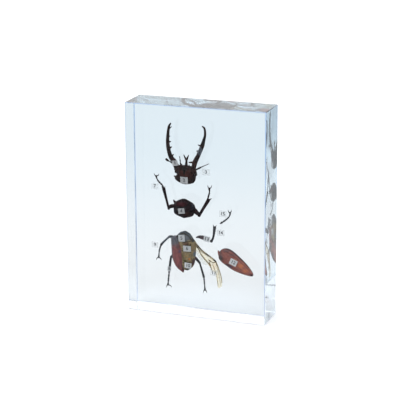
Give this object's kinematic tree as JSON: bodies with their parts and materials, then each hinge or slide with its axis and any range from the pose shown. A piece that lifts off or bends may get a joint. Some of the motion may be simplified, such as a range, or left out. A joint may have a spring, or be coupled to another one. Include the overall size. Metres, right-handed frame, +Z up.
{
  "type": "insect in resin block",
  "caption": "Clear upright resin block with a dissected stag beetle and small numbered paper labels sealed inside, resting on its flat bottom face.",
  "frame": {"origin": "centre of the block's bottom face, on the surface it stands on", "axes": "+Z up, along the block's height; +X to the right seen from the front; the broad front face looks along -Y"},
  "size_m": [0.085, 0.0226, 0.126],
  "materials": {
    "resin": "clear cast resin, polished",
    "dark_chitin": "dark glossy insect shell",
    "brown_chitin": "brown satin insect shell",
    "wing_case": "red-brown glossy wing case",
    "leg_chitin": "red-black insect leg",
    "paper": "matt printed paper"
  },
  "bodies": {
    "root": {"resin_front": "resin", "resin_back": "resin", "head": "dark_chitin", "prothorax": "dark_chitin", "body": "brown_chitin", "elytron_right": "wing_case", "leg_base": "leg_chitin", "leg_tibia": "leg_chitin", "leg_tarsus": "leg_chitin", "label_mandible": "paper", "label_head": "paper", "label_antenna": "paper", "label_pronotum": "paper", "label_mesothorax": "paper", "label_metathorax": "paper", "label_fore_leg": "paper", "label_hind_leg": "paper", "label_middle_leg": "paper", "label_abdomen": "paper", "label_wing": "paper", "label_elytron": "paper", "label_femur": "paper", "label_tibia": "paper", "label_tarsus": "paper"}
  },
  "joints": []
}
